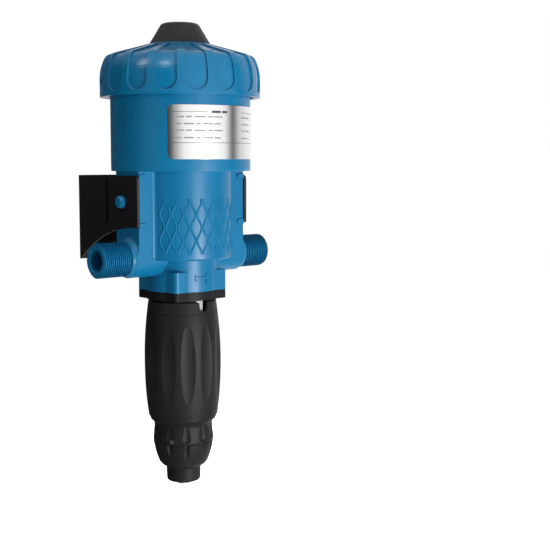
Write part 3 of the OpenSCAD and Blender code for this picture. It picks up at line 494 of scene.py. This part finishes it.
def ogeeRib(name, sense):
    # a short bar drawn upwards step by step, swaying round the waist and thinning out at its ends
    radius = ogee["radius"] * mm
    step = (ogee["top"] - ogee["foot"]) / ogee["steps"]

    def bearing(z):
        return radians(sense * ogee["swing"] * cos(2 * pi * (z - ogee["peak"]) / ogee["period"]))

    def fade(z):
        fromFoot = (z - ogee["foot"]) / ogee["footFade"] + ogee["footShare"]
        toTop = (ogee["top"] - z) / ogee["topFade"]
        return max(ogee["thinnest"], min(1, fromFoot, toTop))

    deselectAll()
    z = ogee["foot"]
    deep = (ogee["proud"] + ogee["sunk"]) * mm
    bpy.ops.mesh.primitive_plane_add(size=1, location=(0, 0, 0))
    rib = bpy.context.object
    rib.name = name
    rib.scale = (ogee["width"] * mm, deep, 1)
    rib.location = (0, -radius + ogee["sunk"] * mm - deep / 2, z * mm)
    settle(rib)
    bpy.ops.object.mode_set(mode="EDIT")
    bpy.ops.mesh.select_mode(type="VERT")
    bpy.ops.mesh.select_all(action="DESELECT")
    bpy.ops.object.mode_set(mode="OBJECT")
    for vertex in rib.data.vertices:
        vertex.select = vertex.co.y < -radius
    bpy.ops.object.mode_set(mode="EDIT")
    narrower = ogee["crest"] / ogee["width"]
    bpy.ops.transform.resize(value=(narrower, 1, 1), center_override=(0, -radius, z * mm))
    bpy.ops.mesh.select_all(action="SELECT")
    bpy.ops.transform.rotate(value=-bearing(z), orient_axis="Z", center_override=(0, 0, 0))
    shrink = fade(z)
    bpy.ops.transform.resize(value=(1, shrink, 1), center_override=(0, -radius, z * mm))
    for _ in range(ogee["steps"]):
        following = z + step
        here = bearing(following)
        bpy.ops.mesh.extrude_region_move(TRANSFORM_OT_translate={"value": (0, 0, step * mm)})
        bpy.ops.transform.rotate(value=bearing(z) - here, orient_axis="Z", center_override=(0, 0, 0))
        grow = fade(following) / shrink
        seat = (radius * sin(here), -radius * cos(here), following * mm)
        bpy.ops.transform.resize(value=(1, grow, 1), center_override=seat)
        shrink = fade(following)
        z = following
    finishEdit()
    return rib


def ogeePattern():
    ribs = []
    for sense, way in ((1, "rising"), (-1, "falling")):
        model = ogeeRib("ribModel", sense)
        for column in range(ogee[way]):
            ribs.append(turnedCopy(model, "rib", ogee[way + "From"] + column * ogee["cell"]))
        bpy.data.objects.remove(model)
    pattern = joined("ogeeRibs", ribs)
    smooth(pattern, ogee["smoothAngle"])
    paint(pattern, ribBlue)
    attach(pattern, "housing")


ogeePattern()
print("ogee ribs on the waist")


# Fillets between the waist and the wings

fillet = {"radius": 3.0, "waist": 39.6, "wingFront": 14.8, "foot": portHeight + 0.8, "underPlate": 8.6,
          "inWaist": 0.4, "inWing": 0.5, "steps": 96, "toolSpare": 2, "smoothAngle": 40}


def wingFillets():
    # a corner block from which a round tool that touches waist and wing is cut
    radius, waist, front = fillet["radius"], fillet["waist"], fillet["wingFront"]
    across = sqrt((waist + radius) ** 2 - (front + radius) ** 2)
    seat = waist / (waist + radius)
    low = fillet["foot"]
    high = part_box("rating_plate")[0][2] / mm - fillet["underPlate"]
    nearest = (across * seat - fillet["inWaist"], -(front + radius) * seat, low)
    furthest = (across, fillet["inWing"] - front, high)
    corner = boxPiece("fillet", [v * mm for v in nearest], [v * mm for v in furthest])
    deselectAll()
    depth = (high - low + 2 * fillet["toolSpare"]) * mm
    place = [v * mm for v in (across, -(front + radius), (low + high) / 2)]
    bpy.ops.mesh.primitive_cylinder_add(vertices=fillet["steps"], radius=radius * mm, depth=depth,
                                        location=place)
    boolean(corner, bpy.context.object, "DIFFERENCE")
    left = mirroredCopy(corner, "filletLeft")
    behind = [turnedCopy(piece, "filletBehind", 180) for piece in (corner, left)]
    fillets = joined("wingFillets", [corner, left] + behind)
    smooth(fillets, fillet["smoothAngle"])
    paint(fillets, bluePlastic)
    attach(fillets, "housing")


wingFillets()
print("fillets between waist and wings")


# Flow arrow on the neck

arrow = {"radius": 28.5, "centre": 0.1, "height": portHeight - 16.0, "length": 17.2, "shaft": 1.9,
         "tail": 1.1, "tailHeight": 4.5, "headHeight": 8.1, "headLength": 7.4, "proud": 0.7, "sunk": 0.2,
         "before": 4, "behind": 6, "bandReach": 8, "smoothAngle": 30}


def arrowBar(name, left, right, height):
    # a bar through the front of the neck, at the arrow's height
    front = -arrow["radius"] - arrow["before"]
    back = -arrow["radius"] + arrow["behind"]
    low = (left, front, arrow["height"] - height / 2)
    high = (right, back, arrow["height"] + height / 2)
    return boxPiece(name, [v * mm for v in low], [v * mm for v in high])


def arrowHead(tip):
    # a three-sided prism with its flat side towards the tail; a unit one is 1.5 long and sqrt(3) high
    length, height = arrow["headLength"], arrow["headHeight"]
    depth = arrow["before"] + arrow["behind"]
    middle = -arrow["radius"] + (arrow["behind"] - arrow["before"]) / 2
    deselectAll()
    bpy.ops.mesh.primitive_cylinder_add(vertices=3, radius=1, depth=depth * mm, location=(0, 0, 0),
                                        rotation=(pi / 2, pi / 2, 0))
    head = bpy.context.object
    settle(head)
    head.scale = (length * mm / 1.5, 1, height * mm / sqrt(3))
    head.location = ((tip - length * 2 / 3) * mm, middle * mm, arrow["height"] * mm)
    settle(head)
    return head


def flowArrow():
    left = arrow["centre"] - arrow["length"] / 2
    right = left + arrow["length"]
    sign = arrowBar("tail", left, left + arrow["tail"], arrow["tailHeight"])
    shaft = arrowBar("shaft", left + arrow["tail"] / 2, right - arrow["headLength"] / 2, arrow["shaft"])
    for extra in (shaft, arrowHead(right)):
        boolean(sign, extra, "UNION")
    sunk = arrow["sunk"] * mm
    low = (arrow["height"] - arrow["bandReach"]) * mm
    high = (arrow["height"] + arrow["bandReach"]) * mm
    wrapOnto(sign, arrow["radius"] * mm - sunk, arrow["proud"] * mm + sunk, low, high)
    sign = joined("flowArrow", [sign])
    smooth(sign, arrow["smoothAngle"])
    paint(sign, bluePlastic)
    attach(sign, "housing")


flowArrow()
print("flow arrow raised")


# Printed rules on the rating plate

plateRules = {
    "proud": 0.06, "sunk": 0.02, "before": 4.0, "ruleHeight": 0.35, "dashHeight": 1.1, "titleHeight": 1.7,
    "margin": 1.7, "leftColumn": 3.6, "rightColumn": 58.0, "header": 34.9, "headerBreak": 23.5, "footer": 12.1,
    "rows": [31.2, 26.1, 21.2, 15.8],
    # plain dashes, each as (start, length): the title's, and two kinds of row that take turns down the plate
    "title": [(26.5, 7.6), (35.3, 4.8)],
    "dashes": [[(0.0, 5.4), (6.5, 3.6), (12.2, 8.0), (21.3, 4.4), (26.8, 7.0)],
               [(0.0, 3.8), (4.9, 6.6), (13.0, 3.2), (17.3, 8.2), (26.9, 5.2)]],
    "rightDashes": [[(0.0, 4.6), (5.8, 7.2)], [(0.0, 7.8), (8.9, 3.4)]]}


def plateStrip(name, left, right, height, thick):
    # left, right, height and thick in millimetres, with the height from the plate's foot
    low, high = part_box("rating_plate")
    radius = -low[1]
    middle = low[2] + height * mm
    nearest = [left * mm, -radius - plateRules["before"] * mm, middle - thick * mm / 2]
    furthest = [right * mm, -radius / 2, middle + thick * mm / 2]
    strip = boxPiece(name, nearest, furthest)
    wrapOnto(strip, radius - plateRules["sunk"] * mm, plateRules["proud"] * mm, low[2], high[2])
    return strip


def plateDashes(name, column, dashes, height, thick):
    return [plateStrip(name, column + start, column + start + length, height, thick)
            for start, length in dashes]


def printedRules():
    low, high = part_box("rating_plate")
    left = low[0] / mm + plateRules["margin"]
    right = high[0] / mm - plateRules["margin"]
    rightColumn = low[0] / mm + plateRules["rightColumn"]
    header, thick = plateRules["header"], plateRules["ruleHeight"]
    dark = [plateStrip("rule", left, right, plateRules["footer"], thick),
            plateStrip("rule", left, left + plateRules["headerBreak"], header, thick),
            plateStrip("rule", rightColumn, right, header, thick)]
    dark += plateDashes("title", left, plateRules["title"], header, plateRules["titleHeight"])
    rules = joined("plateRules", dark)
    paint(rules, plateInk)
    # the two kinds of row are drawn once at the height of the first and moved down to their places
    rows = plateRules["rows"]
    faint = []
    for column, dashes in ((low[0] / mm + plateRules["leftColumn"], "dashes"), (rightColumn, "rightDashes")):
        kinds = plateRules[dashes]
        for kind, row in enumerate(kinds):
            model = joined("row", plateDashes("dash", column, row, rows[0], plateRules["dashHeight"]))
            for height in rows[kind::len(kinds)]:
                faint.append(movedCopy(model, "row", (0, 0, (height - rows[0]) * mm)))
            bpy.data.objects.remove(model)
    printed = joined("plateRows", faint)
    paint(printed, faintInk)
    for piece in (rules, printed):
        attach(piece, "housing")


printedRules()
print("rules on the plate")


# Graduations on the dosage scale

graduations = {"count": 11, "longEvery": 5, "pitch": 1.25, "top": 1.2, "long": 2.4, "short": 1.4,
               "thick": 0.22, "proud": 0.05, "sunk": 0.1, "inset": 0.5, "before": 2, "behind": 3}


def scaleGraduations():
    low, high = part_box("dosage_scale")
    right = high[0] - graduations["inset"] * mm
    first = high[2] - graduations["top"] * mm
    front = low[1] - graduations["before"] * mm
    back = low[1] + graduations["behind"] * mm
    sunk = graduations["sunk"] * mm
    spare = graduations["before"] * mm
    half = graduations["thick"] * mm / 2
    ticks = []
    for length in ("long", "short"):
        left = right - graduations[length] * mm
        tick = boxPiece("tick", [left, front, first - half], [right, back, first + half])
        wrapOnto(tick, -low[1] - sunk, graduations["proud"] * mm + sunk, low[2] - spare, high[2] + spare)
        for place in range(graduations["count"]):
            if (place % graduations["longEvery"] == 0) == (length == "long"):
                ticks.append(movedCopy(tick, "tick", (0, 0, -place * graduations["pitch"] * mm)))
        bpy.data.objects.remove(tick)
    marks = joined("scaleMarks", ticks)
    paint(marks, scaleInk)
    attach(marks, "housing")


scaleGraduations()
print("scale graduated")


# Index dot on the valve collar

dot = {"bearing": -60.0, "height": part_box("hose_nut")[1][2] / mm + 2.9, "radius": 1.9, "proud": 0.5,
       "seat": 23.9, "segments": 32, "smoothAngle": 40,
       # the low dome's outline, each ring as (share of proud, share of radius)
       "outline": [(-1, 1), (0.5, 1), (0.85, 0.9), (1, 0.7), (1.05, 0.05)]}
# the dot is a small dome of its own, and its grey, lighter than the collar, is partly a painted highlight
dotGreyAndHighlight = mouldedPlastic("dotGreyAndHighlight", {
    "dark": (0.06, 0.06, 0.062), "light": (0.075, 0.075, 0.078), "driftScale": 30, "grainScale": 3200,
    "glossy": 0.42, "dull": 0.5, "specular": 0.14, "grain": 0.1, "edge": 0.0003})


def indexDot():
    rings = [(proud * dot["proud"] * mm, radius * dot["radius"] * mm) for proud, radius in dot["outline"]]
    knob = turned("indexDot", rings, segments=dot["segments"], closed=False)
    closeEnds(knob, 0)
    angle = radians(dot["bearing"])
    seat = dot["seat"] * mm
    knob.rotation_euler = (pi / 2, 0, angle)
    knob.location = (seat * sin(angle), -seat * cos(angle), dot["height"] * mm)
    settle(knob)
    smooth(knob, dot["smoothAngle"])
    paint(knob, dotGreyAndHighlight)
    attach(knob, "dosing")


indexDot()
print("index dot set")


# Coil springs, each carried by its own body

springs = {
    "bleedCoil": {"node": "bleed_spring", "body": "bleed", "joint": "bleed_press", "turns": 6, "wire": 1.1},
    "suctionCoil": {"node": "suction_spring", "body": "dosing", "joint": "suction_lift", "turns": 4,
                    "wire": 0.8},
}
coil = {"around": 36, "wireSides": 10, "closedPitch": 1.06, "smoothAngle": 50}


def coilSpring(name, values):
    # one wire in three lengths, with a close turn at each end and open turns between
    low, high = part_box(values["node"])
    wire = values["wire"] * mm
    height = high[2] - low[2]
    openTurns = values["turns"] - 2
    closePitch = coil["closedPitch"] * wire
    openPitch = (height - wire - 2 * closePitch) / openTurns
    z = low[2] + wire / 2
    lengths = []
    for pitch, turns in ((closePitch, 1), (openPitch, openTurns), (closePitch, 1)):
        deselectAll()
        place = (high[0] - wire / 2, 0, z)
        bpy.ops.mesh.primitive_circle_add(vertices=coil["wireSides"], radius=wire / 2, location=place,
                                          rotation=(pi / 2, 0, 0))
        length = bpy.context.object
        settle(length)
        sweep(length, pitch, turns, coil["around"])
        lengths.append(length)
        z += pitch * turns
    spring = joined(name, lengths)
    closeEnds(spring, coil["wireSides"])
    smooth(spring, coil["smoothAngle"])
    paint(spring, stainless)
    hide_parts(values["node"])
    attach(spring, values["body"])
    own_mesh(spring)


for coilName, coilValues in springs.items():
    coilSpring(coilName, coilValues)
print("springs wound")


# Floor, backdrop and light

# places and sizes in metres and angles in radians, but lens and sensor in millimetres
camera = {"place": (-0.5301, -0.6940, 0.2609), "heading": 0.737, "pitch": 0.1037, "lens": 72.08,
          "sensor": 36.0, "near": 0.02, "far": 60}

studio = {
    "floorDrop": 0.30, "floorSize": 120.0, "floorColour": (0.86, 0.86, 0.86), "floorRoughness": 0.9,
    "whiteNear": 0.78, "whiteFrom": 0.3, "whiteTo": 0.75, "worldLight": 0.02,
    "zenithFrom": 0.3, "zenithTo": 0.7,
    # the white that a gloss sees, as (bearing in degrees, strength): 0 is the camera's side and 90 its right
    "surroundings": [(-180, 0.8), (-155, 0.06), (-60, 0.02), (-12, 0.02), (10, 1.0), (80, 1.0), (97, 0.02),
                     (114, 0.7), (140, 0.95), (180, 1.0)]}


def glossStrength(tree, direction):
    # round the object the studio is white, with a wide dark screen on its left and a narrow one on its right
    turnedAway = addNode(tree, "ShaderNodeMapping")
    turnedAway.inputs["Rotation"].default_value = (0, 0, camera["heading"] + pi / 2)
    tree.links.new(direction, turnedAway.inputs["Vector"])
    radial = addNode(tree, "ShaderNodeTexGradient", gradient_type="RADIAL")
    tree.links.new(turnedAway.outputs["Vector"], radial.inputs["Vector"])
    ramp = addNode(tree, "ShaderNodeValToRGB")
    tree.links.new(radial.outputs["Fac"], ramp.inputs["Fac"])
    stops = ramp.color_ramp.elements
    while len(stops) < len(studio["surroundings"]):
        stops.new(0.5)
    for stop, (bearing, strength) in zip(stops, studio["surroundings"]):
        stop.position = bearing / 360 + 0.5
        stop.color = (strength, strength, strength, 1)
    return ramp.outputs["Color"]


def mixedOut(tree, output, factor, first, second):
    # the output shows the first shader where the factor is 0 and the second where it is 1
    mix = addNode(tree, "ShaderNodeMixShader")
    tree.links.new(factor, mix.inputs["Fac"])
    tree.links.new(first, mix.inputs[1])
    tree.links.new(second, mix.inputs[2])
    tree.links.new(mix.outputs["Shader"], tree.nodes[output].inputs["Surface"])


def paleFloor():
    deselectAll()
    bpy.ops.mesh.primitive_plane_add(size=studio["floorSize"], location=(0, 0, -studio["floorDrop"]))
    floor = bpy.context.object
    floor.name = "studioFloor"
    settle(floor)
    material, tree, shader = newMaterial("studioFloorWhite")
    shader.inputs["Base Color"].default_value = (*studio["floorColour"], 1)
    shader.inputs["Roughness"].default_value = studio["floorRoughness"]
    shader.inputs["Specular IOR Level"].default_value = 0.0
    # the camera sees plain white away from the object, and a little less near it, where the shadow lies
    path = addNode(tree, "ShaderNodeLightPath")
    place = addNode(tree, "ShaderNodeTexCoord")
    away = addNode(tree, "ShaderNodeVectorMath", operation="LENGTH")
    tree.links.new(place.outputs["Object"], away.inputs[0])
    reach = (studio["whiteFrom"], studio["whiteTo"])
    white = spread(tree, away.outputs["Value"], studio["whiteNear"], 1.0, *reach)
    seen = combined(tree, "MULTIPLY", white, path.outputs["Is Camera Ray"])
    shader.inputs["Emission Color"].default_value = (1, 1, 1, 1)
    tree.links.new(seen, shader.inputs["Emission Strength"])
    # a gloss sees the surroundings there instead of the lit floor
    inGloss = addNode(tree, "ShaderNodeEmission")
    tree.links.new(glossStrength(tree, place.outputs["Object"]), inGloss.inputs["Strength"])
    mixedOut(tree, "Material Output", path.outputs["Is Glossy Ray"], shader.outputs["BSDF"],
             inGloss.outputs["Emission"])
    paint(floor, material)


def whiteWorld():
    world = bpy.data.worlds.new("studioWorld")
    bpy.context.scene.world = world
    world.use_nodes = True
    tree = world.node_tree
    light = tree.nodes["Background"]
    light.inputs["Color"].default_value = (1, 1, 1, 1)
    light.inputs["Strength"].default_value = studio["worldLight"]
    backdrop = addNode(tree, "ShaderNodeBackground")
    backdrop.inputs["Color"].default_value = (1, 1, 1, 1)
    direction = addNode(tree, "ShaderNodeTexCoord").outputs["Generated"]
    parts = addNode(tree, "ShaderNodeSeparateXYZ")
    tree.links.new(direction, parts.inputs[0])
    overhead = spread(tree, parts.outputs["Z"], 0.0, 1.0, studio["zenithFrom"], studio["zenithTo"])
    inGloss = combined(tree, "MAXIMUM", glossStrength(tree, direction), overhead)
    # the camera sees plain white, gloss and glass see the surroundings, and the rest is lit by the weak light
    path = addNode(tree, "ShaderNodeLightPath")
    toCamera = path.outputs["Is Camera Ray"]
    glossy = combined(tree, "MAXIMUM", path.outputs["Is Glossy Ray"], path.outputs["Is Transmission Ray"])
    strength = combined(tree, "MAXIMUM", toCamera, combined(tree, "MULTIPLY", glossy, inGloss))
    tree.links.new(strength, backdrop.inputs["Strength"])
    mixedOut(tree, "World Output", combined(tree, "MAXIMUM", toCamera, glossy), light.outputs["Background"],
             backdrop.outputs["Background"])


# the two panes light nothing: they show only in a gloss, as the cap's window-like highlights
softLights = {
    "keyLow": {"place": (0.06, -1.24, -0.20), "aim": (0, 0, 0.2), "size": 0.7, "watts": 20.4,
               "inGloss": True, "inDiffuse": True},
    "fillLeft": {"place": (-1.45, -0.07, 0.59), "aim": (0, 0, 0.2), "size": 0.8, "watts": 3.6,
                 "inGloss": False, "inDiffuse": True},
    "topSoft": {"place": (-0.15, -0.30, 1.46), "aim": (0, 0, 0.2), "size": 0.9, "watts": 7.2,
                "inGloss": False, "inDiffuse": True},
    "paneRight": {"place": (-1.06, -0.62, 1.10), "aim": (0, 0, 0.32), "size": 0.36, "watts": 2.3,
                  "inGloss": True, "inDiffuse": False},
    "paneLeft": {"place": (-1.22, 0.12, 1.08), "aim": (0, 0, 0.32), "size": 0.36, "watts": 2.3,
                 "inGloss": True, "inDiffuse": False},
    "backSoft": {"place": (0.95, 1.22, 0.5), "aim": (0, 0, 0.2), "size": 0.9, "watts": 19.0,
                 "inGloss": False, "inDiffuse": True},
}


def addLights():
    for name, values in softLights.items():
        lamp = bpy.data.lights.new(name, "AREA")
        lamp.shape = "DISK"
        lamp.size = values["size"]
        lamp.energy = values["watts"]
        holder = bpy.data.objects.new(name, lamp)
        bpy.context.scene.collection.objects.link(holder)
        holder.location = values["place"]
        holder.visible_camera = False
        holder.visible_glossy = values["inGloss"]
        holder.visible_diffuse = values["inDiffuse"]
        toward = Vector(values["aim"]) - Vector(values["place"])
        holder.rotation_euler = toward.to_track_quat("-Z", "Y").to_euler()


def addCamera():
    data = bpy.data.cameras.new("photoCamera")
    data.sensor_fit = "HORIZONTAL"
    data.sensor_width = camera["sensor"]
    data.lens = camera["lens"]
    data.clip_start = camera["near"]
    data.clip_end = camera["far"]
    holder = bpy.data.objects.new("photoCamera", data)
    bpy.context.scene.collection.objects.link(holder)
    holder.location = camera["place"]
    level = cos(camera["pitch"])
    ahead = Vector((level * sin(camera["heading"]), level * cos(camera["heading"]), -sin(camera["pitch"])))
    holder.rotation_euler = ahead.to_track_quat("-Z", "Y").to_euler()
    bpy.context.scene.camera = holder


paleFloor()
whiteWorld()
addLights()
addCamera()
bpy.context.scene.view_settings.view_transform = "Standard"
print("studio ready")
